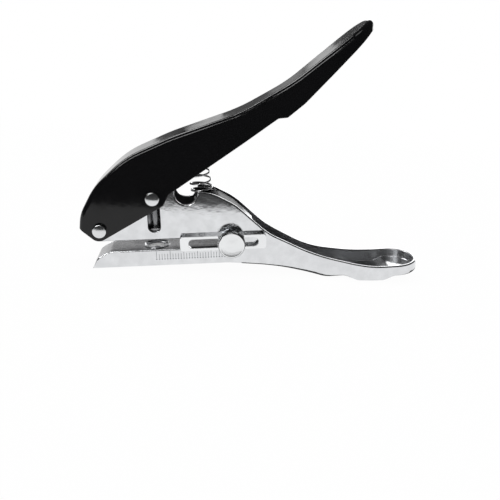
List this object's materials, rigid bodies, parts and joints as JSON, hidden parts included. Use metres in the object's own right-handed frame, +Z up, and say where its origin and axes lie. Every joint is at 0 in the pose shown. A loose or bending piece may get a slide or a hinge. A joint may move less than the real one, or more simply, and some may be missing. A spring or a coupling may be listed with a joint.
{
  "type": "hole punch pliers",
  "caption": "Hand-held single-hole paper punch pliers with a sprung lever, a round punch and die, a paper throat and an adjustable depth guide.",
  "frame": {"origin": "middle of the bounding box on the plane that the jaw's front corner and the handle's heel stand on", "axes": "+X from the jaw toward the ends of the handles, +Y away from the thumb screw, +Z up from the handle to the lever"},
  "size_m": [0.1268, 0.0226, 0.0928],
  "materials": {
    "chrome_body": "mirror",
    "chrome_guide": "polished",
    "chrome_small": "polished",
    "die_steel": "ground",
    "pin_steel": "turned",
    "spring_steel": "drawn wire",
    "black_lever": "gloss"
  },
  "bodies": {
    "body": {"body_channel": "chrome_body", "die_plate": "chrome_body", "die_bush": "die_steel", "punch_guide_block": "die_steel", "punch_guide_bush": "die_steel", "spring_seat": "chrome_body", "clamp_nut": "chrome_small", "return_spring": "spring_steel"},
    "punch": {"punch": "die_steel", "drive_pin": "pin_steel", "drive_pin_collar": "pin_steel"},
    "lever": {"lever_shell": "black_lever", "pivot_pin": "pin_steel", "pivot_pin_collar": "pin_steel", "pivot_spacer": "pin_steel", "spring_locator": "black_lever"},
    "depth_guide": {"depth_guide": "chrome_guide"},
    "thumb_screw": {"thumb_knob": "chrome_small", "thumb_stud": "chrome_small", "knob_washer": "chrome_small"}
  },
  "joints": [
    {"name": "punch_slide", "type": "slide", "parent": "body", "child": "punch", "axis": [0.0857, 0, -0.9963], "range_m": [0, 0.0085]},
    {"name": "lever_squeeze", "type": "hinge", "parent": "punch", "child": "lever", "pos_m": [-0.03765, 0.00112, 0.02822], "axis": [0, 1, 0], "range_deg": [0, 23], "stiffness_Nm_per_rad": 0.9, "springref_deg": -5.73, "deforming": ["return_spring"]},
    {"name": "guide_slide", "type": "slide", "parent": "body", "child": "depth_guide", "axis": [0.9963, 0, 0.0857], "range_m": [-0.0055, 0.0135]},
    {"name": "screw_turn", "type": "hinge", "parent": "body", "child": "thumb_screw", "pos_m": [-0.00877, 0.00112, 0.01334], "axis": [0, -1, 0], "range_deg": [0, 360]}
  ],
  "couplings": [
    {"joint": "punch_slide", "follows": "lever_squeeze", "m_per_rad": 0.021179}
  ]
}
